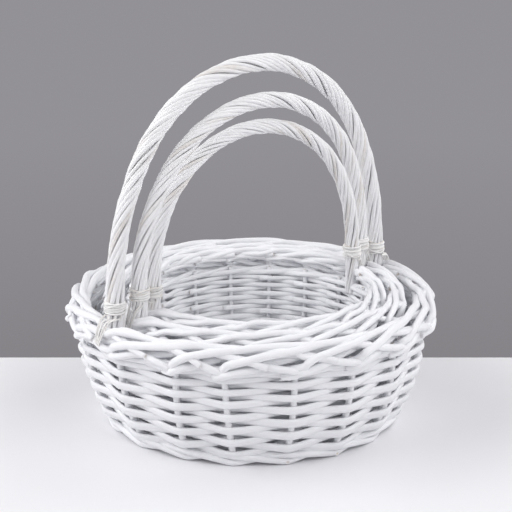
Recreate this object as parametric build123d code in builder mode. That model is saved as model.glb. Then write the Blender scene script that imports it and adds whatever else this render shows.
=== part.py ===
"""Nest of three round willow baskets with fixed hoop handles, modelled in millimetres.

Frame: +Z up, origin on the ground at the centre of the large basket's foot. The handles arch over
the baskets in planes parallel to XZ. Each inner basket stands on the base of the one outside it.
"""

from build123d import *
from dataclasses import dataclass
from math import asin, atan2, cos, radians, sin
import os

# ---------------------------------------------------------------- driving dimensions shared by the set
stake_count = 18
stake_phase = 6.0          # degrees from the handle plane to the first stake
stake_r = 3.0
stake_lean = 0.8           # outward run of a stake as it passes the top wale
base_thickness = 11.7      # top of a base above the ground that the basket stands on
nest_step = 12.0           # rise from one basket's ground to the next one's, 0.3 clear of the base
base_clear = 2.0           # the base weave is domed up, so only the foot wale touches the ground
foot_height = 9.0
foot_flare = 8.0           # the foot wale widens by this much to meet the side weave
foot_width = 12.0
wale_height = 8.0
wale_proud = 2.0
border_height = 25.0
stick_through_r = 3.2      # base sticks that are pierced
stick_pierced_r = 2.6      # base sticks that pass through the slits
stick_pitch = 6.8
sticks_each_way = 4
binding_height = 16.0
binding_wall = 1.6
wall_bulge_height = 0.40   # where the side bows out most, as a share of the side's height
wall_bulge_reach = 0.655   # share of the flare reached there
tail_drop = 46.0           # how far the handle's core runs on below the wrap, inside the weave
tail_lean = 4.5            # how far that tail leans in with the weave


@dataclass
class Basket:
    """One basket of the set. Heights are from its own ground."""

    name: str
    ground: float           # height of its ground in the nest
    forward: float          # how far its centre stands towards -Y
    foot_r: float
    wall_r: float           # outside of the side weave at the top
    rim_r: float            # outside of the border
    rim_height: float
    wall_width: float       # radial thickness of the side weave
    border_width: float
    handle_r: float         # half of the span between the legs' centre lines
    handle_height: float    # centre line at the crown
    crown_r: float          # radius of the arch's crown
    wrap_r: float
    core_r: float
    binding_level: float    # middle of the two bindings
    handle_turn: float = 0  # how far its handle is turned in the nest, degrees

    @property
    def border_foot(self):
        return self.rim_height - border_height

    @property
    def wale_foot(self):
        return self.border_foot - wale_height

    @property
    def spring_level(self):
        """The legs are straight up to the top of the bindings, where the arch springs."""
        return self.binding_level + binding_height / 2

    def level(self, height):
        return self.ground + height

    def plane(self, height=0.0):
        return Plane.XY.offset(self.level(height)).shift_origin((0, -self.forward, self.level(height)))

    def section(self, turn=0):
        """Radial plane through the basket's own axis: x is the radius, y is the height."""
        c, s = cos(radians(turn)), sin(radians(turn))
        return Plane((0, -self.forward, self.ground), x_dir=(c, s, 0), z_dir=(s, -c, 0))

    def leg(self, side):
        """Centre line of one leg of the handle, from the basket's own axis."""
        reach = side * self.handle_r
        return (reach * cos(radians(self.handle_turn)), reach * sin(radians(self.handle_turn)))

    def axis(self):
        return Axis((0, -self.forward, 0), (0, 0, 1))

    def wall_point(self, share, inset):
        """A point of the side's curve, inset from its outside, at the foot, the bow or the top."""
        start = self.foot_r + foot_flare
        radius = start + share[0] * (self.wall_r - start) - inset
        height = foot_height + share[1] * (self.wale_foot - foot_height)
        return (radius, height)

    def wall_points(self, inset):
        shares = ((0, 0), (wall_bulge_reach, wall_bulge_height), (1, 1))
        return [self.wall_point(share, inset) for share in shares]


LARGE = Basket(
    name="large", ground=0, forward=0, foot_r=156, wall_r=193, rim_r=200, rim_height=141,
    wall_width=14, border_width=24, handle_r=178, handle_height=389, crown_r=163,
    wrap_r=9.3, core_r=4.5, binding_level=156,
)
MEDIUM = Basket(
    name="medium", ground=nest_step, forward=5, foot_r=128, wall_r=158.5, rim_r=165, rim_height=134,
    wall_width=12.5, border_width=19.5, handle_r=151, handle_height=339, crown_r=142,
    wrap_r=8.4, core_r=4.0, binding_level=154,
)
SMALL = Basket(
    name="small", ground=2 * nest_step, forward=8, foot_r=108, wall_r=135, rim_r=141, rim_height=126,
    wall_width=11.5, border_width=20, handle_r=130, handle_height=298, crown_r=124,
    wrap_r=7.9, core_r=3.8, binding_level=139.5, handle_turn=-4,
)


def save(piece, node):
    piece.part.label = node
    export_step(piece.part, f"parts/{node}.step")


# ---------------------------------------------------------------- base
def make_base_sticks(b):
    """Slath: four sticks slit at the middle and four passed through the slits, all in one layer."""
    reach = b.foot_r - foot_width - 1
    middle = (base_clear + base_thickness) / 2
    row = (sticks_each_way - 1) * stick_pitch / 2
    length = 2 * (reach**2 - (row + stick_through_r) ** 2) ** 0.5
    across = [i * stick_pitch - row for i in range(sticks_each_way)]
    with BuildPart(b.plane(middle)) as sticks:
        with Locations(*[(0, aside) for aside in across]):
            Cylinder(stick_through_r, length, rotation=(0, 90, 0))
        with Locations(*[(aside, 0) for aside in across]):
            Cylinder(stick_pierced_r, length, rotation=(90, 0, 0))
    return sticks


def make_base_weave(b, sticks):
    with BuildPart() as weave:
        with BuildSketch(b.plane(base_clear)):
            Circle(b.foot_r - foot_width)
        extrude(amount=base_thickness - base_clear)
        add(sticks.part, mode=Mode.SUBTRACT)
    return weave


def make_foot_wale(b):
    """Thick three-rod wale that the basket stands on, flat underneath and flared to the side."""
    inside = b.foot_r - foot_width
    with BuildPart() as foot:
        with BuildSketch(b.section()):
            with BuildLine():
                Line((inside, 0), (b.foot_r, 0))
                ThreePointArc(
                    (b.foot_r, 0),
                    (b.foot_r + foot_flare * 0.62, foot_height * 0.4),
                    (b.foot_r + foot_flare, foot_height),
                )
                Line((b.foot_r + foot_flare, foot_height), (inside, foot_height))
                Line((inside, foot_height), (inside, 0))
            make_face()
        revolve(axis=b.axis())
    return foot


# ---------------------------------------------------------------- side
def make_stakes(b):
    """Upright rods in the middle of the weave, from the foot wale up to the border."""
    start, bow, end = b.wall_points(b.wall_width / 2)
    with BuildPart() as one:
        with BuildLine(b.section()) as run:
            ThreePointArc(start, bow, (end[0] + stake_lean, b.border_foot + stake_lean))
        with BuildSketch(Plane(run.wire() @ 0, z_dir=run.wire() % 0)):
            Circle(stake_r)
        sweep(path=run.wire())
        split(bisect_by=b.plane(foot_height), keep=Keep.TOP)
        split(bisect_by=b.plane(b.border_foot), keep=Keep.BOTTOM)
    with BuildPart() as stakes:
        for i in range(stake_count):
            turn = stake_phase + 360 / stake_count * i
            add(one.part.rotate(b.axis(), turn))
    return stakes


def make_side_weave(b, stakes, core):
    """Plain weave of the side as one curved wall, pierced by the stakes and the handle's two tails."""
    outside = b.wall_points(0)
    inside = b.wall_points(b.wall_width)
    with BuildPart() as weave:
        with BuildSketch(b.section()):
            with BuildLine():
                ThreePointArc(*outside)
                Line(outside[2], inside[2])
                ThreePointArc(*inside)
                Line(inside[0], outside[0])
            make_face()
        revolve(axis=b.axis())
        add(stakes.part, mode=Mode.SUBTRACT)
        add(core.part, mode=Mode.SUBTRACT)
    return weave


def make_top_wale(b, stakes, core):
    """Three-rod wale that locks the stakes under the border."""
    outer = b.wall_r + wale_proud
    inner = b.wall_r - b.wall_width
    with BuildPart() as wale:
        with BuildSketch(b.section()):
            with BuildLine():
                Line((inner, b.wale_foot), (b.wall_r, b.wale_foot))
                ThreePointArc(
                    (b.wall_r, b.wale_foot),
                    (outer, b.wale_foot + wale_height / 2),
                    (b.wall_r, b.border_foot),
                )
                Line((b.wall_r, b.border_foot), (inner, b.border_foot))
                Line((inner, b.border_foot), (inner, b.wale_foot))
            make_face()
        revolve(axis=b.axis())
        add(stakes.part, mode=Mode.SUBTRACT)
        add(core.part, mode=Mode.SUBTRACT)
    return wale


def make_border(b):
    """Rolled border of the bent-down stake ends. The two handle legs are let into it."""
    leg_feet = [(*b.leg(side), 0) for side in (-1, 1)]
    low_outer = (b.rim_r - 5, b.border_foot)
    high_outer = (b.rim_r - 8, b.rim_height - 4)
    high_inner = (b.rim_r - b.border_width + 6, b.rim_height - 4)
    low_inner = (b.rim_r - b.border_width + 4, b.border_foot)
    with BuildPart() as border:
        with BuildSketch(b.section()):
            with BuildLine():
                ThreePointArc(low_outer, (b.rim_r, b.border_foot + border_height * 0.43), high_outer)
                ThreePointArc(high_outer, (b.rim_r - b.border_width / 2, b.rim_height), high_inner)
                ThreePointArc(
                    high_inner,
                    (b.rim_r - b.border_width, b.border_foot + border_height * 0.5),
                    low_inner,
                )
                Line(low_inner, low_outer)
            make_face()
        revolve(axis=b.axis())
        with Locations(b.plane(b.border_foot)):
            with Locations(*leg_feet):
                Cylinder(b.wrap_r, 3 * border_height, mode=Mode.SUBTRACT)
    return border


# ---------------------------------------------------------------- handle
def arch_run(b, foot, tail):
    """Centre line in the handle's plane: straight legs, two side arcs and a crown arc, all tangent."""
    half, rise = b.handle_r, b.handle_height - b.spring_level
    crown_drop = rise - b.crown_r
    side_r = (half**2 + crown_drop**2 - b.crown_r**2) / (2 * (half - b.crown_r))
    side_x = half - side_r
    crown_level = b.handle_height - b.crown_r
    turn = atan2(crown_drop, -side_x)
    meet = (b.crown_r * cos(turn), crown_level + b.crown_r * sin(turn))
    haunch = (side_x + side_r * cos(turn / 2), b.spring_level + side_r * sin(turn / 2))
    tail_r = (tail_lean**2 + tail_drop**2) / (2 * tail_lean)
    tail_turn = asin(tail_drop / tail_r) / 2
    knee = (half - tail_r * (1 - cos(tail_turn)), foot - tail_r * sin(tail_turn))
    for side in (-1, 1):
        spring = (side * half, b.spring_level)
        ThreePointArc(spring, (side * haunch[0], haunch[1]), (side * meet[0], meet[1]))
        Line((side * half, foot), spring)
        if tail:
            tip = (side * (half - tail_lean), foot - tail_drop)
            ThreePointArc((side * half, foot), (side * knee[0], knee[1]), tip)
    ThreePointArc((-meet[0], meet[1]), (0, b.handle_height), meet)


def make_handle_core(b):
    """Bow of thick rod; its two ends run down into the weave, each beside a stake."""
    with BuildPart() as core:
        with BuildLine(b.section(b.handle_turn)) as run:
            arch_run(b, b.border_foot, tail=True)
        with BuildSketch(Plane(run.wire() @ 0, z_dir=run.wire() % 0)):
            Circle(b.core_r)
        sweep(path=run.wire())
    return core


def make_handle_wrap(b):
    """Roped wrap of thin rods round the bow, from border to border."""
    with BuildPart() as wrap:
        with BuildLine(b.section(b.handle_turn)) as run:
            arch_run(b, b.border_foot, tail=False)
        with BuildSketch(Plane(run.wire() @ 0, z_dir=run.wire() % 0)):
            Circle(b.wrap_r)
            Circle(b.core_r, mode=Mode.SUBTRACT)
        sweep(path=run.wire())
    return wrap


def make_binding(b, side):
    """Skein wound round one leg just above the border."""
    low = b.binding_level - binding_height / 2
    with BuildPart() as binding:
        with BuildSketch(b.plane(low)):
            with Locations(b.leg(side)):
                Circle(b.wrap_r + binding_wall)
                Circle(b.wrap_r, mode=Mode.SUBTRACT)
        extrude(amount=binding_height)
    return binding


def make_basket(b):
    sticks = make_base_sticks(b)
    stakes = make_stakes(b)
    core = make_handle_core(b)
    wrap = make_handle_wrap(b)
    save(sticks, f"{b.name}_base_sticks")
    save(make_base_weave(b, sticks), f"{b.name}_base_weave")
    save(make_foot_wale(b), f"{b.name}_foot_wale")
    save(stakes, f"{b.name}_stakes")
    save(make_side_weave(b, stakes, core), f"{b.name}_side_weave")
    save(make_top_wale(b, stakes, core), f"{b.name}_top_wale")
    save(make_border(b), f"{b.name}_border")
    save(core, f"{b.name}_handle_core")
    save(wrap, f"{b.name}_handle_wrap")
    save(make_binding(b, -1), f"{b.name}_left_binding")
    save(make_binding(b, 1), f"{b.name}_right_binding")


os.makedirs("parts", exist_ok=True)
for basket in (LARGE, MEDIUM, SMALL):
    make_basket(basket)
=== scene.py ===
"""Nest of three white willow baskets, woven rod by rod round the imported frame.

All lengths in the weaving code are millimetres; a mesh is turned into metres when it is made. The
lengths of a rod's way are the large basket's, and a smaller basket takes its share of them.
Each basket is described in its own polar coordinates: the angle round its axis, the radius, and
the height above the ground of the set. Every rod is a swept tube with its own grain coordinates.
"""

import math

import bpy
import numpy as np
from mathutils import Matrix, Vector


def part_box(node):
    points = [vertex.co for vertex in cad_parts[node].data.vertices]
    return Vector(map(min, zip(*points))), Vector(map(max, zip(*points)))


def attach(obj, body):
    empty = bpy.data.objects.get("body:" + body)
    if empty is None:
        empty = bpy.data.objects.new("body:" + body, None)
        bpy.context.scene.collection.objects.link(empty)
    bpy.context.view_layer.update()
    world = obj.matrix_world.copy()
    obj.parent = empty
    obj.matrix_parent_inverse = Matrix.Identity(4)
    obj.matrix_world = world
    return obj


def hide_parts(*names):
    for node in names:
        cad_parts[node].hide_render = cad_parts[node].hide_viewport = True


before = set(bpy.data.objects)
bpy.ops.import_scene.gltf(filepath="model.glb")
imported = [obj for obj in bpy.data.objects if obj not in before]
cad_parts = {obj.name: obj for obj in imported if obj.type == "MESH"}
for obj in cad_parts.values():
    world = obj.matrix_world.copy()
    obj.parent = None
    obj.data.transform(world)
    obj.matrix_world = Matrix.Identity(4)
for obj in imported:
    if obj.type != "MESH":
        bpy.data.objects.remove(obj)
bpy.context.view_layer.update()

MM = 0.001
TURN = 2 * math.pi
UP = np.array([0.0, 0.0, 1.0])

# ---------------------------------------------------------------- shared proportions of the set
STAKES = 18                      # stakes in each side
STAKE_PHASE = math.radians(6)    # from the X axis to the first stake
STAKE_JITTER, STAKE_LEAN = 0.02, 0.03    # how far a stake strays at its foot, and further at its top
SPARE_STAKES = 2                 # stakes counted twice, so that rods can pass the seam
BULGE_HEIGHT = 0.40              # where the side bows out most, as in the CAD
BULGE_REACH = 0.655
FOOT_FLARE = 8.0
CORE_SHARE = 0.48                # radius of the bow inside a handle as a share of the handle's
FULL_WALL, FULL_RIM = 14.0, 28.0  # wall and rim widths for which the rods' ways are written
FULL_LEG = 9.3                   # radius of a handle for which the rope's pitch is written
# Thickness of the wall, width of the rim, rise of a row, stake, and border rod of each basket, then
# the crown radius of its handle as a share of the half span, and how far the crown sags to the front.
BASKETS = {
    "large": (14.0, 25.0, 7.8, 7.0, 7.6, 0.915, 0.0),
    "medium": (12.5, 20.5, 6.4, 5.4, 6.4, 0.940, 8.0),
    "small": (11.5, 20.5, 5.6, 4.6, 6.0, 0.954, 0.0),
}


# ---------------------------------------------------------------- rods
class Bundle:
    """Rods collected into one mesh. Each vertex keeps its rod's grain, tone and wear."""

    def __init__(self, seed):
        self.random = np.random.RandomState(seed)
        self.points, self.grain, self.tone, self.wear = [], [], [], []
        self.quads, self.caps = [], []
        self.count = 0

    def rod(self, path, outward, width, depth, wear=0.0, sides=10, square=2.4, closed=False,
            end_wear=1.0):
        """Sweep a rounded section along path: depth lies along outward, width across it."""
        path = np.asarray(path, float)
        n = len(path)
        tangent = np.roll(path, -1, 0) - np.roll(path, 1, 0)
        if not closed:
            tangent[0] = path[1] - path[0]
            tangent[-1] = path[-1] - path[-2]
        tangent /= np.linalg.norm(tangent, axis=1)[:, None]
        across = np.cross(tangent, np.broadcast_to(outward, path.shape))
        across /= np.linalg.norm(across, axis=1)[:, None]
        out = np.cross(across, tangent)
        half_w = np.broadcast_to(np.asarray(width, float) / 2, (n,)).copy()
        half_d = np.broadcast_to(np.asarray(depth, float) / 2, (n,)).copy()
        angle = np.arange(sides) * TURN / sides
        c = np.sign(np.cos(angle)) * np.abs(np.cos(angle)) ** (2 / square)
        s = np.sign(np.sin(angle)) * np.abs(np.sin(angle)) ** (2 / square)
        ring = (across[:, None] * (half_w[:, None] * c)[..., None]
                + out[:, None] * (half_d[:, None] * s)[..., None])
        self.points.append((path[:, None] + ring).reshape(-1, 3))
        step = np.linalg.norm(np.diff(path, axis=0), axis=1)
        along = np.concatenate(([0.0], np.cumsum(step)))
        where = self.random.uniform(0, 500, 3)
        grain = np.stack([
            np.broadcast_to(half_w[:, None] * c, (n, sides)),
            np.broadcast_to(half_d[:, None] * s, (n, sides)),
            np.broadcast_to(along[:, None], (n, sides)),
        ], -1).reshape(-1, 3) + where
        self.grain.append(grain)
        tone = self.random.uniform()
        self.tone.append(np.full(n * sides, tone))
        rod_wear = np.broadcast_to(np.asarray(wear, float), (n,)).copy()
        self.wear.append(np.repeat(rod_wear, sides))
        rows = np.arange(n if closed else n - 1)[:, None] * sides
        here = np.arange(sides)[None]
        there = (here + 1) % sides
        after = (rows + sides) % (n * sides)
        quads = np.stack([rows + here, rows + there, after + there, after + here], -1)
        first = self.count
        self.quads.append(quads.reshape(-1, 4) + first)
        self.count += n * sides
        if not closed:
            self._cap(path[0], first, sides, grain[0], tone, end_wear, True)
            self._cap(path[-1], first + (n - 1) * sides, sides, grain[-1], tone, end_wear, False)

    def _cap(self, centre, first, sides, grain, tone, wear, flip):
        """Close one end of a tube, whose ring of vertices there starts at first."""
        ring = first + np.arange(sides)
        after = first + (np.arange(sides) + 1) % sides
        self.points.append(np.asarray(centre, float)[None])
        self.grain.append(np.asarray(grain, float)[None])
        self.tone.append(np.array([tone]))
        self.wear.append(np.array([wear]))
        middle = np.full(sides, self.count)
        order = (middle, after, ring) if flip else (middle, ring, after)
        self.caps.append(np.stack(order, -1))
        self.count += 1

    def build(self, name, body, slot, material, nodes):
        points = np.concatenate(self.points) * MM
        quads = np.concatenate(self.quads)
        caps = np.concatenate(self.caps) if self.caps else np.zeros((0, 3), int)
        mesh = bpy.data.meshes.new(name)
        mesh.vertices.add(len(points))
        mesh.vertices.foreach_set("co", points.ravel())
        corners = np.concatenate([quads.ravel(), caps.ravel()])
        mesh.loops.add(len(corners))
        mesh.loops.foreach_set("vertex_index", corners.astype(np.int32))
        sizes = np.concatenate([np.full(len(quads), 4), np.full(len(caps), 3)])
        mesh.polygons.add(len(sizes))
        starts = np.concatenate([[0], np.cumsum(sizes)[:-1]])
        mesh.polygons.foreach_set("loop_start", starts.astype(np.int32))
        mesh.update(calc_edges=True)
        mesh.validate()
        smooth = np.concatenate([np.ones(len(quads), bool), np.zeros(len(caps), bool)])
        mesh.polygons.foreach_set("use_smooth", smooth)
        grain = mesh.attributes.new("grain", "FLOAT_VECTOR", "POINT")
        grain.data.foreach_set("vector", np.concatenate(self.grain).ravel())
        for label, values in (("tone", self.tone), ("wear", self.wear)):
            layer = mesh.attributes.new(label, "FLOAT", "POINT")
            layer.data.foreach_set("value", np.concatenate(values).ravel())
        mesh.update()
        piece = bpy.data.objects.new(name, mesh)
        bpy.context.scene.collection.objects.link(piece)
        piece.data.materials.append(material)
        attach(piece, body)
        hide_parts(*nodes)
        return piece


def smooth_run(knots, samples):
    """Catmull-Rom curve through knots, each a row whose first number is the way along."""
    knots = np.asarray(knots, float)
    padded = np.vstack([2 * knots[0] - knots[1], knots, 2 * knots[-1] - knots[-2]])
    spans = len(knots) - 1
    t = np.linspace(0, spans, samples)
    i = np.minimum(t.astype(int), spans - 1)
    f = (t - i)[:, None]
    a, b, c, d = padded[i], padded[i + 1], padded[i + 2], padded[i + 3]
    return 0.5 * (2 * b + (c - a) * f + (2 * a - 5 * b + 4 * c - d) * f**2
                  + (3 * b - a - 3 * c + d) * f**3)


def ease(x):
    x = np.clip(x, 0, 1)
    return x * x * (3 - 2 * x)


def fold(x, bend=0.975):
    """Zigzag from 1 to -1 and back, its corners eased, as a stiff rod bends at each stake."""
    return np.arcsin(bend * np.cos(math.pi * np.asarray(x))) / math.asin(bend)


def slack(u, radius, share=0.75):
    """How far a rod pulled straight from stake to stake lies inside the circle."""
    between = np.mod(u, 1)
    return share * radius * (1 - math.cos(math.pi / STAKES)) * 4 * between * (1 - between)


def rounded(values):
    """Average of each value of a ring with its two neighbours."""
    return sum(np.roll(values, shift) for shift in (-1, 0, 1)) / 3


def wander(random, u, size, waves):
    """A smooth wobble round the basket, the same at both ends of a full turn of u stakes."""
    total = np.zeros_like(u)
    for wave in range(1, waves + 1):
        total += random.normal() * np.sin(TURN * u * wave / STAKES + random.uniform(0, TURN)) / wave
    return size * total


# ---------------------------------------------------------------- a basket's measures
class Basket:
    def __init__(self, name, seed):
        self.name, self.seed = name, seed
        self.body = name + "_basket"
        foot_low, foot_high = self.box("foot_wale")
        side_low, side_high = self.box("side_weave")
        rim_low, rim_high = self.box("border")
        wrap_high = self.box("handle_wrap")[1]
        grip_low, grip_high = self.box("left_binding")
        other_low, other_high = self.box("right_binding")
        base_low, base_high = self.box("base_weave")
        self.y = (rim_low[1] + rim_high[1]) / 2
        self.ground = foot_low[2]
        self.foot_r = foot_high[0] - FOOT_FLARE
        self.foot_top = side_low[2]
        self.base_r, self.base_low, self.base_top = base_high[0], base_low[2], base_high[2]
        self.wall_r, self.wale_foot = side_high[0], side_high[2]
        self.rim_r, self.rim_foot, self.rim_top = rim_high[0], rim_low[2], rim_high[2]
        span = (other_low + other_high - grip_low - grip_high)[:2] / 2
        self.half = np.linalg.norm(span) / 2
        self.heading = span / np.linalg.norm(span)      # from the left leg to the right one
        self.turn = math.atan2(self.heading[1], self.heading[0])
        self.leg_r = wrap_high[0] - self.half * self.heading[0]
        self.crown = wrap_high[2] - self.leg_r
        self.grip_low, self.grip_high = grip_low[2], grip_high[2]
        (self.wall, self.rim_width, self.row_pitch, self.stake_d, self.border_rod,
         self.crown_share, self.sag) = BASKETS[name]
        self.fine = self.wall / FULL_WALL
        self._fit_wall()
        self._set_stakes()

    def _set_stakes(self):
        """Angle of each stake at its foot, and how far it leans, with a few stakes over at each end."""
        random = np.random.RandomState(self.seed)
        jitter = random.uniform(-STAKE_JITTER, STAKE_JITTER, STAKES)
        lean = random.uniform(-STAKE_LEAN, STAKE_LEAN, STAKES)
        order = np.arange(-SPARE_STAKES, STAKES + SPARE_STAKES + 1)
        self.stake_order = order
        self.stake_foot = STAKE_PHASE + order * TURN / STAKES + jitter[order % STAKES]
        self.stake_lean = lean[order % STAKES]

    def box(self, node):
        low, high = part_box(f"{self.name}_{node}")
        return np.array(low) / MM, np.array(high) / MM

    def _fit_wall(self):
        """Circle through the middle of the wall at its foot, its bow and its top."""
        start = self.foot_r + FOOT_FLARE
        mid = self.wall / 2
        flare, rise = self.wall_r - start, self.wale_foot - self.foot_top
        p = np.array([start - mid, self.foot_top])
        q = np.array([start + BULGE_REACH * flare - mid, self.foot_top + BULGE_HEIGHT * rise])
        r = np.array([self.wall_r - mid, self.wale_foot])
        m = 2 * np.array([q - p, r - p])
        centre = np.linalg.solve(m, [q @ q - p @ p, r @ r - p @ p])
        self.bow_centre, self.bow_r = centre, np.linalg.norm(p - centre)
        self.turn_low = math.atan2(p[1] - centre[1], p[0] - centre[0])
        self.turn_high = math.atan2(r[1] - centre[1], r[0] - centre[0])
        self.side_length = self.bow_r * (self.turn_high - self.turn_low)

    def wall_at(self, s):
        """Radius, height and outward normal (radial, up) of the wall's middle, s mm up its curve."""
        turn = self.turn_low + np.asarray(s, float) / self.bow_r
        c, n = np.cos(turn), np.sin(turn)
        return self.bow_centre[0] + self.bow_r * c, self.bow_centre[1] + self.bow_r * n, c, n

    def angle(self, u, s):
        """Angle of position u, counted in stakes, at s mm up the wall; the stakes lean a little."""
        u = np.asarray(u, float)
        laps = np.floor(u / STAKES)
        line = self.stake_foot + self.stake_lean * np.mean(s) / self.side_length
        return np.interp(u - laps * STAKES, self.stake_order, line) + laps * TURN

    def place(self, angle, radius, height):
        return np.stack([radius * np.cos(angle), self.y + radius * np.sin(angle),
                         np.broadcast_to(height, np.shape(angle))], -1)

    def out(self, angle, radial=1.0, up=0.0):
        return np.stack([radial * np.cos(angle), radial * np.sin(angle),
                         np.broadcast_to(up, np.shape(angle))], -1)

    def nodes(self, *names):
        return [f"{self.name}_{n}" for n in names]


# ---------------------------------------------------------------- materials
# Waves of the noise across, through and along a rod, in each millimetre.
FINE_GRAIN = (1.6, 1.6, 0.05)
BROAD_GRAIN = (0.16, 0.16, 0.03)
SPOTS = (0.5, 0.5, 0.16)
BUMP_STRENGTH, BUMP_HEIGHT = 0.35, 0.0004


def willow(name, paint, bare, rough, wear_scale, streak=0.07):
    """White paint over willow: grain streaks along each rod, thin spots and bare wood."""
    material = bpy.data.materials.new(name)
    material.use_nodes = True
    tree = material.node_tree
    nodes, links = tree.nodes, tree.links
    shader = nodes["Principled BSDF"]
    shader.inputs["Roughness"].default_value = rough
    shader.inputs["Specular IOR Level"].default_value = 0.35

    def attribute(label):
        node = nodes.new("ShaderNodeAttribute")
        node.attribute_name = label
        return node

    def noise(stretch, detail, shift=0.0):
        spot = nodes.new("ShaderNodeMapping")
        spot.inputs["Scale"].default_value = stretch
        spot.inputs["Location"].default_value = (shift, shift, shift)
        links.new(grain.outputs["Vector"], spot.inputs["Vector"])
        node = nodes.new("ShaderNodeTexNoise")
        node.inputs["Scale"].default_value = 1.0
        node.inputs["Detail"].default_value = detail
        links.new(spot.outputs["Vector"], node.inputs["Vector"])
        return node.outputs["Fac"]

    def remap(value, low, high, to_low, to_high):
        node = nodes.new("ShaderNodeMapRange")
        node.inputs["From Min"].default_value = low
        node.inputs["From Max"].default_value = high
        node.inputs["To Min"].default_value = to_low
        node.inputs["To Max"].default_value = to_high
        links.new(value, node.inputs["Value"])
        return node.outputs["Result"]

    def math_node(kind, a, b):
        node = nodes.new("ShaderNodeMath")
        node.operation = kind
        node.use_clamp = kind == "ADD"
        for socket, value in zip(node.inputs, (a, b)):
            if isinstance(value, (int, float)):
                socket.default_value = value
            else:
                links.new(value, socket)
        return node.outputs[0]

    def mix(amount, a, b):
        node = nodes.new("ShaderNodeMix")
        node.data_type = "RGBA"
        links.new(amount, node.inputs[0])
        for socket, value in zip((node.inputs[6], node.inputs[7]), (a, b)):
            if isinstance(value, tuple):
                socket.default_value = (*value, 1)
            else:
                links.new(value, socket)
        return node.outputs[2]

    grain = attribute("grain")
    tone = attribute("tone").outputs["Fac"]
    wear = attribute("wear").outputs["Fac"]
    fine = noise(FINE_GRAIN, 4.0)
    broad = noise(BROAD_GRAIN, 3.0, 40.0)
    spots = noise(SPOTS, 5.0, 80.0)
    dark = tuple(c * (1 - streak) for c in paint)
    darker = tuple(c * (1 - 1.6 * streak) for c in paint)
    base = mix(remap(fine, 0.42, 0.62, 0.0, 1.0), dark, paint)
    base = mix(remap(broad, 0.35, 0.7, 0.0, 0.55), base, darker)
    toned = mix(remap(tone, 0.0, 1.0, 0.0, 0.35), base, darker)
    thin = remap(spots, 0.62, 0.72, 0.0, wear_scale)
    raw_grain = mix(remap(fine, 0.4, 0.65, 0.0, 1.0), tuple(0.72 * c for c in bare), bare)
    rub = math_node("ADD", math_node("MULTIPLY", wear, remap(spots, 0.35, 0.6, 0.45, 1.0)), thin)
    colour = mix(rub, toned, raw_grain)
    links.new(colour, shader.inputs["Base Color"])
    links.new(remap(fine, 0.3, 0.7, rough + 0.1, rough - 0.06), shader.inputs["Roughness"])
    bump = nodes.new("ShaderNodeBump")
    bump.inputs["Strength"].default_value = BUMP_STRENGTH
    bump.inputs["Distance"].default_value = BUMP_HEIGHT
    relief = math_node("ADD", math_node("MULTIPLY", fine, 0.6), math_node("MULTIPLY", spots, 0.4))
    links.new(relief, bump.inputs["Height"])
    links.new(bump.outputs["Normal"], shader.inputs["Normal"])
    return material


PAINT = (0.905, 0.91, 0.93)
HANDLE_PAINT = (0.905, 0.905, 0.915)
SKEIN_PAINT = (0.905, 0.90, 0.89)
BARE = (0.56, 0.45, 0.32)

MATERIALS = {
    "weave_willow": willow("white_willow", PAINT, BARE, 0.46, 0.10),
    "handle_willow": willow("white_handle_rods", HANDLE_PAINT, BARE, 0.48, 0.20),
    "binding_skein": willow("worn_skein", SKEIN_PAINT, BARE, 0.55, 0.25),
    "core_willow": willow("bow_willow", HANDLE_PAINT, BARE, 0.55, 0.30, 0.15),
}


def make(bundle, b, part, slot, *nodes):
    names = b.nodes(*(nodes or (part,)))
    return bundle.build(f"{b.name}_{part}_rods", b.body, slot, MATERIALS[slot], names)


# ---------------------------------------------------------------- side
WEAVER_DEPTH = 4.5         # of the large basket; the rest are shares of the rise of a row
WEAVER_MIDDLE = 1.03       # width of a weaver half-way between two stakes
WEAVER_FRONT = 1.26        # outside a stake
WEAVER_BACK = (1.5, 1.1)   # and inside one, where the smaller baskets' rods are left round
FIRST_ROW = 4.5            # how far up the side the wale of the foot reaches
SPREAD = 0.20              # how much wider the lowest rows are set than the middle ones
PER_STAKE = 12             # samples of a rod from one stake to the next


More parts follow.
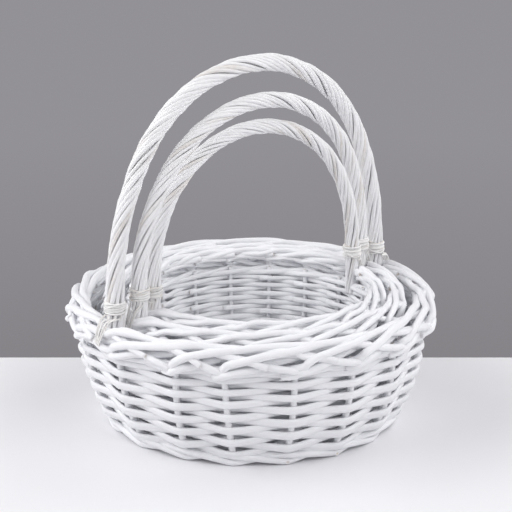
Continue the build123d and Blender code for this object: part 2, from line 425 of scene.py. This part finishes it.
def weave_side(b):
    bundle = Bundle(b.seed + 1)
    random = bundle.random
    fine = b.fine
    low = FIRST_ROW * fine
    rise = b.side_length - low
    rows = round(rise / b.row_pitch)
    thick = WEAVER_DEPTH * fine
    reach = 0.44 * (b.stake_d + thick)
    back = WEAVER_BACK[0 if fine == 1 else 1]
    for row in range(rows):
        t = (row + 0.5) / rows
        s_row = low + rise * (t + SPREAD * t * (1 - t))
        pitch = rise / rows * (1 + SPREAD * (1 - 2 * t))
        sway = wander(random, np.linspace(0, STAKES, STAKES * PER_STAKE + 1), 0.3, 5)
        swell = random.uniform(0.9, 1.06, STAKES)
        first = int(random.randint(0, STAKES // 2)) * 2 + (row % 2)
        stops = [first]
        while stops[-1] < first + STAKES:
            stops.append(min(stops[-1] + 2 * int(random.randint(2, 4)), first + STAKES))
        for begin, finish in zip(stops, stops[1:]):
            u = np.linspace(begin, finish + 0.25, int((finish - begin) * PER_STAKE) + 4)
            beat = -fold(u - row)
            over = ease((u - finish + 0.45) / 0.4) * thick * 0.9
            s = s_row + np.interp(u % STAKES, np.linspace(0, STAKES, len(sway)), sway)
            radius, height, n_out, n_up = b.wall_at(s)
            shift = reach * beat - over
            angle = b.angle(u, s_row)
            nearest = np.round(u).astype(int) % STAKES
            near = np.abs(beat)
            widest = np.where(beat > 0, WEAVER_FRONT * swell[nearest], back)
            width = (WEAVER_MIDDLE + (widest - WEAVER_MIDDLE) * near) * pitch
            depth = thick * (1 - 0.08 * near)
            taper = 1.05 - 0.1 * (u - begin) / (finish - begin)
            path = b.place(angle, radius + shift * n_out - slack(u, radius), height + shift * n_up)
            bundle.rod(path, b.out(angle, n_out, n_up), width * taper, depth * taper, square=2.7)
    make(bundle, b, "side_weave", "weave_willow")


def stand_stakes(b):
    bundle = Bundle(b.seed + 2)
    for k in range(STAKES):
        s = np.linspace(0, b.side_length + b.rim_foot - b.wale_foot + 2, 26)
        radius, height, n_out, n_up = b.wall_at(s)
        line = b.stake_foot[k + 2] + b.stake_lean[k + 2] * s / b.side_length
        size = b.stake_d * (1.05 - 0.1 * s / s[-1])
        bundle.rod(b.place(line, radius, height), b.out(line, n_out, n_up), size, size, square=2.1)
    make(bundle, b, "stakes", "weave_willow")


WALE_STRANDS = 3
WALE_ROD = 6.8
FOOT_WALE = (2.0, 9.6, 4.6, 4.5)     # out and up from the ground, and half its strands' waves out and up
FOOT_TILT = math.radians(24)
TOP_WALE = (0.4, 1.2, 4.8, -3.4)     # out and up from the wale's middle, then the same waves
STUB_ROD = (5.0, 4.4)
STUB_LEVEL = 4.2


def wale_ring(b, bundle, radius, height, tilt, reach, drop):
    """Wale of three strands: each passes outside two stakes and inside the third."""
    strands, size, random = WALE_STRANDS, WALE_ROD * b.fine, bundle.random
    n_out, n_up = math.cos(tilt), -math.sin(tilt)
    u = np.linspace(0, STAKES, STAKES * PER_STAKE, endpoint=False)
    for strand in range(strands):
        way = np.mod(u - strand, strands)
        shift = rounded(np.interp(way, (0, 1, 2, 3), (-0.95, 0.85, 1.0, -0.95))) * reach
        lift = rounded(np.interp(way, (0, 1, 2, 3), (0.1, 1.0, -1.0, 0.1))) * drop
        shift = shift + wander(random, u, 0.25, 7)
        lift = lift + wander(random, u, 0.35, 7)
        angle = b.angle(u, b.side_length * ease((height - b.ground) / 100))
        path = b.place(angle, radius + shift * n_out - lift * n_up - slack(u, radius),
                       height + shift * n_up + lift * n_out)
        swell = size * (1 + wander(random, u, 0.03, 9))
        bundle.rod(path, b.out(angle, n_out, n_up), swell * 1.06, swell * 0.92, square=2.3, closed=True)


def weave_wales(b):
    fine = b.fine
    foot = Bundle(b.seed + 3)
    out, up, reach, drop = (fine * length for length in FOOT_WALE)
    wale_ring(b, foot, b.foot_r + out, b.ground + up, FOOT_TILT, reach, drop)
    for k in range(STAKES):    # the cut ends of the base sticks and side stakes, under the wale
        angle = np.full(3, b.angle(k, 0)) + foot.random.normal(0, 0.012)
        reach = foot.random.uniform(4.0, 8.5) * fine
        way = b.foot_r + np.array([-12.0, -2.0, reach])
        level = b.ground + STUB_LEVEL * fine + np.array([1.5, 0.2, -0.2])
        foot.rod(b.place(angle, way, level), UP, STUB_ROD[0] * fine, STUB_ROD[1] * fine)
    make(foot, b, "foot_wale", "weave_willow")
    top = Bundle(b.seed + 4)
    out, up, reach, drop = TOP_WALE
    wale_ring(b, top, b.wall_r - b.wall / 2 + out, (b.wale_foot + b.rim_foot) / 2 + up, 0.0,
              reach * fine, drop * fine)
    make(top, b, "top_wale", "weave_willow")


# ---------------------------------------------------------------- border
# Each rod's way: stakes along, out from the middle of the rim, up from the border's foot.
STAKE_RUN = (               # a stake turned down: out, over the top, in, and out again to its tip
    (-0.10, -1.0, -5.0), (-0.03, 7.0, 0.0), (0.04, 13.5, 4.8), (0.13, 16.4, 8.6), (0.32, 15.4, 13.2),
    (0.58, 12.4, 17.0), (0.90, 8.4, 19.6), (1.30, 2.6, 21.4), (1.75, -4.0, 21.6), (2.20, -9.2, 19.2),
    (2.60, -8.2, 16.6), (2.90, -1.6, 15.2), (3.14, 5.0, 13.6), (3.36, 9.8, 11.0), (3.58, 14.2, 7.2),
    (3.80, 15.6, 3.2), (3.97, 13.4, -0.4), (4.10, 7.5, -3.0),
)
LOW_RUN = (                 # its mate, which starts the next tip low on the outside
    (-0.16, 4.0, -7.0), (-0.05, 12.4, -5.0), (0.05, 16.8, -2.4), (0.22, 15.8, 0.8), (0.42, 10.8, 3.2),
    (0.64, 4.4, 6.0), (0.94, -2.0, 10.0), (1.34, -7.6, 13.6), (1.78, -10.6, 14.6), (2.10, -9.4, 11.8),
)
FOLLOW_RUN = (              # a short rod laid along the last, its butt cut off outside
    (-1.30, -10.6, 18.0), (-0.94, -8.0, 17.0), (-0.60, -2.4, 17.6), (-0.30, 4.6, 17.0),
    (-0.04, 10.0, 14.4), (0.20, 15.4, 10.8), (0.42, 18.4, 7.0),
)
BORDER_HEIGHT = 25.0
FOLLOWED = 0.6              # share of the stakes with such a rod
RIM_SPARE = 5.0             # how much less wide the rods' ways are than the rim
STRAYS = (0.025, 0.55, 0.7)  # how far a way strays along (in stakes), out and up
BESIDE_LEG = 5.0            # how far from a leg the rods start to go round it
LEG_DIP = 0.22              # share of their height that they sink there


def roll_border(b):
    """The stakes' ends bent down over one another. At a leg of the handle they go round its outside."""
    bundle = Bundle(b.seed + 5)
    random = bundle.random
    middle = b.rim_r - b.rim_width / 2
    spread = (b.rim_width - RIM_SPARE) / FULL_RIM
    lift = (b.rim_top - b.rim_foot) / BORDER_HEIGHT
    size = b.border_rod
    leg_side = b.half - middle + 0.9 * b.leg_r + size / 2 + 0.3

    def lay(k, run, thick, samples, end_wear):
        knots = np.array(run)
        knots[:, 0] += random.normal(0, STRAYS[0], len(knots))
        knots[:, 1] = knots[:, 1] * spread + random.normal(0, STRAYS[1], len(knots))
        knots[:, 2] = knots[:, 2] * lift + random.normal(0, STRAYS[2], len(knots))
        way = smooth_run(knots, samples)
        angle = b.angle(k + way[:, 0], b.side_length)
        off, dip = way[:, 1], 0.0
        for leg in (b.turn, b.turn + math.pi):
            near = np.angle(np.exp(1j * (angle - leg))) * b.half
            push = np.maximum(leg_side - off, 0.0)
            beside = np.exp(-(near / (b.leg_r + BESIDE_LEG)) ** 4)
            off = off + push * beside
            dip = dip + LEG_DIP * way[:, 2] * beside
        radius = middle + off - slack(way[:, 0], middle, 0.4)
        path = b.place(angle, radius, b.rim_foot + way[:, 2] - dip)
        width = thick * (1.08 - 0.22 * np.linspace(0, 1, samples))
        bundle.rod(path, b.out(angle, 0.7, 0.7), width, width * 0.96, square=2.15, sides=12,
                   end_wear=end_wear)

    for k in range(STAKES):
        lay(k, STAKE_RUN, size * random.uniform(1.0, 1.12), 84, 0.6)
        lay(k, LOW_RUN, size * random.uniform(0.92, 1.06), 48, 0.6)
        if random.uniform() < FOLLOWED:
            lay(k + 0.2, FOLLOW_RUN, size * random.uniform(0.9, 1.04), 36, 1.0)
    make(bundle, b, "border", "weave_willow")


# ---------------------------------------------------------------- base
STICKS_EACH_WAY = 4
STICK_PITCH = 6.8
STICK_SIZES = ((6.2, 4.6), (6.0, 4.4))    # width and thickness of the sticks along X, then along Y
STICK_TIP = 0.72                          # what is left of a stick's size at its tip
CROSSING = 26.0                           # where the sticks begin to fan out
SPOKES = 4 * STICKS_EACH_WAY
BASE_WEAVER = (4.4, 3.3)                  # width and thickness
BASE_RING = BASE_WEAVER[0] * 0.98         # from one ring of the weave to the next
BASE_WAVE = 3.1                           # how far a weaver goes over and under the sticks


def fan_sticks(b, middle):
    """The sticks lie side by side where they cross and fan out to even spokes."""
    bundle = Bundle(b.seed + 6)
    reach = b.base_r - 1
    along = np.linspace(0, reach, 26)
    taper = np.linspace(1.0, STICK_TIP, len(along))
    bend = ease((along - CROSSING) / (reach * 0.45))
    for way, (flat, tall) in enumerate(STICK_SIZES):
        for i in range(STICKS_EACH_WAY):
            place = i - (STICKS_EACH_WAY - 1) / 2
            aside, turn = place * STICK_PITCH, place * TURN / SPOKES
            for side in (-1, 1):
                x = side * along * np.cos(turn * bend)
                y = aside * (1 - bend) + along * np.sin(turn) * bend + aside * bend * 0.25
                if way:
                    x, y = y, x
                points = np.stack([x, b.y + y, np.full_like(x, middle)], -1)
                bundle.rod(points, UP, flat * taper, tall * taper, square=2.1)
    make(bundle, b, "base_sticks", "weave_willow")


def weave_base(b):
    middle = (b.base_low + b.base_top) / 2
    fan_sticks(b, middle)
    bundle = Bundle(b.seed + 7)
    random = bundle.random
    width, thick = BASE_WEAVER
    start = STICKS_EACH_WAY * STICK_PITCH / 2 + 5
    theta = np.linspace(0, TURN, SPOKES * PER_STAKE, endpoint=False)
    for ring in range(int((b.base_r - start) / BASE_RING)):
        sway = 0.25 * np.sin(theta * 3 + random.uniform(0, TURN))
        sway += 0.2 * np.sin(theta * 7 + random.uniform(0, TURN))
        wave = np.cos(SPOKES / 2 * (theta - TURN / SPOKES / 2) + math.pi * ring)
        height = middle + BASE_WAVE * np.sign(wave) * np.abs(wave) ** 0.8
        path = b.place(theta, start + ring * BASE_RING + sway, height)
        bundle.rod(path, UP, width * 1.12, thick, square=2.3, closed=True)
    make(bundle, b, "base_weave", "weave_willow")


# ---------------------------------------------------------------- handle
def arch(b, step, foot):
    """Centre line of a handle: the way along it, its points, and its outward and sideways normals."""
    spring = b.grip_high
    crown_r = b.crown_share * b.half
    rise = b.crown - spring
    drop = rise - crown_r
    side_r = (b.half**2 + drop**2 - crown_r**2) / (2 * (b.half - crown_r))
    turn = math.atan2(drop, side_r - b.half)
    leg = spring - foot
    pieces = [leg, side_r * turn, 2 * crown_r * (math.pi / 2 - turn), side_r * turn, leg]
    total = sum(pieces)
    s = np.linspace(0, total, int(total / step))
    ends = np.cumsum(pieces)
    x, z, face = np.empty_like(s), np.empty_like(s), np.empty_like(s)
    up = s <= ends[0]
    x[up], z[up], face[up] = -b.half, foot + s[up], math.pi
    first = (s > ends[0]) & (s <= ends[1])
    a = math.pi - (s[first] - ends[0]) / side_r
    x[first] = side_r - b.half + side_r * np.cos(a)
    z[first] = spring + side_r * np.sin(a)
    face[first] = a
    top = (s > ends[1]) & (s <= ends[2])
    a = math.pi - turn - (s[top] - ends[1]) / crown_r
    x[top] = crown_r * np.cos(a)
    z[top] = b.crown - crown_r + crown_r * np.sin(a)
    face[top] = a
    second = (s > ends[2]) & (s <= ends[3])
    a = turn - (s[second] - ends[2]) / side_r
    x[second] = b.half - side_r + side_r * np.cos(a)
    z[second] = spring + side_r * np.sin(a)
    face[second] = a
    down = s > ends[3]
    x[down], z[down], face[down] = b.half, spring - (s[down] - ends[3]), 0.0
    right, front = b.heading
    sag = b.sag * ease((z - spring) / (b.crown - spring))
    centre = np.stack([x * right + sag * front, b.y + x * front - sag * right, z], -1)
    outward = np.stack([np.cos(face) * right, np.cos(face) * front, np.sin(face)], -1)
    return s, centre, outward, np.array([front, -right, 0.0])


TAIL_DROP = 46.0             # how far the bow's ends run down into the weave
ROPE_STRANDS = 11
ROPE_PITCH = 128.0           # length of one turn of the rope away from the legs
ROPE_ROD = 0.415             # size of its rods as a share of the handle's radius
ROPE_FOOT = 12.0             # how far the rope reaches below the border
ROPE_FLARE = 0.06            # how much the rope swells over the bindings,
ROPE_SQUEEZE = 0.12          # and is drawn in at its foot
CHAFE = 0.35                 # how bare each rod is at its most worn spot


def bend_core(b):
    core_r = CORE_SHARE * b.leg_r
    bundle = Bundle(b.seed + 8)
    _, centre, outward, _ = arch(b, 5.0, b.rim_foot)
    bundle.rod(centre, outward, 2 * core_r, 2 * core_r, square=2.0)
    for side in (0.0, math.pi):
        drop = np.linspace(0, TAIL_DROP, 14)
        radius = b.wall_at(b.side_length - drop)[0]
        inward = b.half + (radius - radius[0]) * 0.8
        angle = np.full_like(drop, b.turn + side)
        size = 2 * core_r * (0.5 - 0.25 * drop / drop[-1])
        bundle.rod(b.place(angle, inward, b.rim_foot - drop), b.out(angle), size, size)
    make(bundle, b, "handle_core", "core_willow")


def wrap_handle(b):
    """Rods twisted round the bow; the twist is slower along the legs."""
    bundle = Bundle(b.seed + 9)
    random = bundle.random
    foot = b.rim_foot - ROPE_FOOT
    s, centre, outward, sideways = arch(b, 3.5, foot)
    total, leg = s[-1], b.grip_low - foot
    thick = b.leg_r * ROPE_ROD
    end = np.minimum(s, total - s)
    flare = 1 + ROPE_FLARE * np.exp(-((end - leg - 10) / 26) ** 2)
    squash = 1 - ROPE_SQUEEZE * np.exp(-(end / leg) ** 2)
    ring = (b.leg_r - thick * 0.46) * flare * squash
    rate = 0.4 + 0.6 * ease((end - 30) / 150)
    lean = np.cumsum(rate) * (s[1] - s[0]) * TURN / (ROPE_PITCH * b.leg_r / FULL_LEG)

    def swing(shortest, longest):
        """A slow wave along the rope, of some length between the two."""
        return np.sin(TURN * s / random.uniform(shortest, longest) + random.uniform(0, TURN))

    for i in range(ROPE_STRANDS):
        stray = random.normal(0, 0.06) + 0.11 * swing(90, 240)
        turn = TURN * i / ROPE_STRANDS + lean + stray
        out = ring * (1 + 0.035 * swing(60, 160))
        face = outward * np.cos(turn)[:, None] + sideways * np.sin(turn)[:, None]
        path = centre + face * out[:, None]
        size = thick * (1 + 0.10 * swing(150, 400)) * random.uniform(0.84, 1.14)
        chafe = CHAFE * np.exp(-((s - random.uniform(0, total)) / 30) ** 2)
        bundle.rod(path, face, size * 1.14, size, wear=chafe, sides=8, square=2.2)
    make(bundle, b, "handle_wrap", "handle_willow")


SKEIN_TURNS = 8
SKEIN_THICK = 1.9
TIE = (1.7, 1.2)             # width and thickness of the tie round the turns,
LASHING = (1.8, 1.2)         # and of a lashing
LASHINGS = (                 # where it leaves the leg (degrees), and how far aside it ends
    (-80, -1.6), (-52, 1.2), (-22, 3.6), (24, -3.4), (50, -1.0), (78, 1.8),
)


def bind_leg(b, side, part):
    """Skein bound round a leg above the rim, then fanned down over the border and tucked in."""
    bundle = Bundle(b.seed + (10 if side < 0 else 11))
    random = bundle.random
    right, front = b.heading
    x, y = side * b.half * right, b.y + side * b.half * front
    low, high = b.grip_low, b.grip_high
    turns, samples = SKEIN_TURNS, 40
    radius = b.leg_r * 1.06 + 0.7
    facing = 0.0 if side > 0 else math.pi

    def at(theta, out, height):
        return np.stack([x + out * np.cos(theta), y + out * np.sin(theta), height], -1)

    theta = np.linspace(0, TURN * (turns + 0.6), samples * turns)
    lap = theta / TURN
    level = low + 1.2 + (high - low - 2.6) * lap / lap[-1]
    wobble = sum(np.sin(theta * rate + random.uniform(0, TURN)) * size
                 for rate, size in ((0.41, 0.3), (1.13, 0.22), (2.07, 0.12)))
    out = radius + 0.5 * np.sin(theta * 0.37 + random.uniform(0, TURN)) + 0.2 * np.sin(theta * 3.1)
    face = np.stack([np.cos(theta), np.sin(theta), np.zeros_like(theta)], -1)
    rub = np.clip(np.interp(lap, np.linspace(0, turns + 1, 20), random.uniform(-0.7, 0.5, 20)), 0, 1)
    bundle.rod(at(theta, out, level + wobble), face, (high - low) / turns * 0.9, SKEIN_THICK,
               wear=rub, sides=8, square=2.3)
    theta = np.linspace(0, TURN, samples, endpoint=False)
    slope = (high - low) * 0.36 * np.sin(theta + facing + random.uniform(-0.4, 0.4))
    face = np.stack([np.cos(theta), np.sin(theta), np.zeros_like(theta)], -1)
    bundle.rod(at(theta, radius + 1.1, (low + high) / 2 + slope), face, *TIE,
               wear=random.uniform(0, 0.3), sides=8, square=2.4, closed=True)
    outside = b.rim_r - b.half + 1.2
    drop = b.grip_low - b.rim_foot
    for start, aside in LASHINGS:
        spin = math.radians(start + random.uniform(-6, 6))
        side_way, out_way = math.sin(spin) * radius, math.cos(spin) * radius
        knots = (
            (0, out_way, side_way, low + 4.0), (1, out_way * 1.03, side_way * 1.03, low - 1.5),
            (2, out_way + (outside - out_way) * 0.55, side_way * 0.72 + aside * 0.2, b.rim_top + 2.0),
            (3, outside * 0.93, side_way * 0.42 + aside * 0.6, low - drop * 0.62),
            (4, outside, side_way * 0.12 + aside, low - drop * 0.88),
            (5, outside - 5.0, aside - side_way * 0.1, low - drop * 1.05),
        )
        way = smooth_run(knots, 30)
        out, aside_way = side * way[:, 1], way[:, 2]
        path = np.stack([x + out * right - aside_way * front,
                         y + out * front + aside_way * right, way[:, 3]], -1)
        bundle.rod(path, np.array([side * 0.8, math.sin(spin) * 0.5, 0.5]), *LASHING,
                   wear=random.uniform(0.0, 0.2), sides=8, square=2.5)
    make(bundle, b, part, "binding_skein")


def weave_basket(name, seed):
    b = Basket(name, seed)
    stand_stakes(b)
    weave_side(b)
    weave_wales(b)
    roll_border(b)
    weave_base(b)
    bend_core(b)
    wrap_handle(b)
    bind_leg(b, -1, "left_binding")
    bind_leg(b, 1, "right_binding")


for number, basket_name in enumerate(BASKETS):
    weave_basket(basket_name, 100 * (number + 1))


# ---------------------------------------------------------------- stage, light and camera
def plain(name, colour, rough):
    material = bpy.data.materials.new(name)
    material.use_nodes = True
    shader = material.node_tree.nodes["Principled BSDF"]
    shader.inputs["Base Color"].default_value = (*colour, 1)
    shader.inputs["Roughness"].default_value = rough
    return material


VIEW_AZIMUTH = math.radians(-38.0)
VIEW_ELEVATION = math.radians(17.15)
VIEW_DISTANCE = 1.939           # metres
VIEW_LENS = 3.486328125         # focal length in widths of the sensor
VIEW_TARGET_HEIGHT = 0.177
VIEW_TARGET_RIGHT = 0.0048

view_back = Vector((math.sin(VIEW_AZIMUTH), -math.cos(VIEW_AZIMUTH), 0))
view_right = Vector((math.cos(VIEW_AZIMUTH), math.sin(VIEW_AZIMUTH), 0))


def make_table():
    """Pale table top whose back edge passes just behind the nest."""
    back, front, wide, thick = 0.160, 2.6, 2.6, 0.03
    corners = []
    for depth, across in ((-back, -wide), (-back, wide), (front, wide), (front, -wide)):
        spot = view_back * depth + view_right * across
        corners.append((spot.x, spot.y, 0.0))
    mesh = bpy.data.meshes.new("table_top")
    below = [(x, y, -thick) for x, y, _ in corners]
    faces = [(0, 1, 2, 3), (7, 6, 5, 4), (0, 4, 5, 1), (1, 5, 6, 2), (2, 6, 7, 3), (3, 7, 4, 0)]
    mesh.from_pydata(corners + below, [], faces)
    table = bpy.data.objects.new("table_top", mesh)
    bpy.context.scene.collection.objects.link(table)
    mesh.materials.append(plain("pale_table", (0.80, 0.80, 0.815), 0.55))


def backdrop():
    """Grey studio backdrop, a little darker towards the table."""
    world = bpy.data.worlds.new("studio")
    bpy.context.scene.world = world
    world.use_nodes = True
    nodes, links = world.node_tree.nodes, world.node_tree.links
    spot = nodes.new("ShaderNodeTexCoord")
    split = nodes.new("ShaderNodeSeparateXYZ")
    links.new(spot.outputs["Generated"], split.inputs[0])
    fade = nodes.new("ShaderNodeMapRange")
    fade.inputs["From Min"].default_value = -0.36
    fade.inputs["From Max"].default_value = -0.23
    links.new(split.outputs["Z"], fade.inputs["Value"])
    blend = nodes.new("ShaderNodeMix")
    blend.data_type = "RGBA"
    links.new(fade.outputs["Result"], blend.inputs[0])
    blend.inputs[6].default_value = (0.235, 0.223, 0.240, 1)
    blend.inputs[7].default_value = (0.291, 0.284, 0.303, 1)
    links.new(blend.outputs[2], nodes["Background"].inputs["Color"])


make_table()
backdrop()
bpy.context.scene.view_settings.view_transform = "Standard"
bpy.context.scene.cycles.diffuse_bounces = 12    # white paint passes light deep into the weave
bpy.context.scene.cycles.max_bounces = 16

heart = Vector((0, 0, 0.12))


def softbox(name, round_right, up, distance, size, power):
    """Area light aimed at the nest, placed by its angle to the right of the camera and its height."""
    side, rise = math.radians(round_right), math.radians(up)
    way = (view_back * math.cos(side) + view_right * math.sin(side)) * math.cos(rise)
    place = heart + (way + Vector((0, 0, math.sin(rise)))) * distance
    light = bpy.data.lights.new(name, "AREA")
    light.size = size
    light.energy = power
    lamp = bpy.data.objects.new(name, light)
    lamp.location = place
    lamp.rotation_euler = (heart - place).to_track_quat("-Z", "Y").to_euler()
    bpy.context.scene.collection.objects.link(lamp)


softbox("right_front_box", 46, 36, 1.9, 1.5, 16.5)
softbox("left_box", -72, 34, 1.8, 1.5, 21)
softbox("right_back_box", 115, 40, 1.9, 1.5, 15)
softbox("left_back_box", -115, 40, 1.9, 1.5, 9.5)

target = view_right * VIEW_TARGET_RIGHT + Vector((0, 0, VIEW_TARGET_HEIGHT))
toward = view_back * math.cos(VIEW_ELEVATION) + Vector((0, 0, math.sin(VIEW_ELEVATION)))
camera_data = bpy.data.cameras.new("camera")
camera_data.lens = VIEW_LENS * camera_data.sensor_width
camera = bpy.data.objects.new("camera", camera_data)
camera.location = target + toward * VIEW_DISTANCE
camera.rotation_euler = (-toward).to_track_quat("-Z", "Y").to_euler()
bpy.context.scene.collection.objects.link(camera)
bpy.context.scene.camera = camera
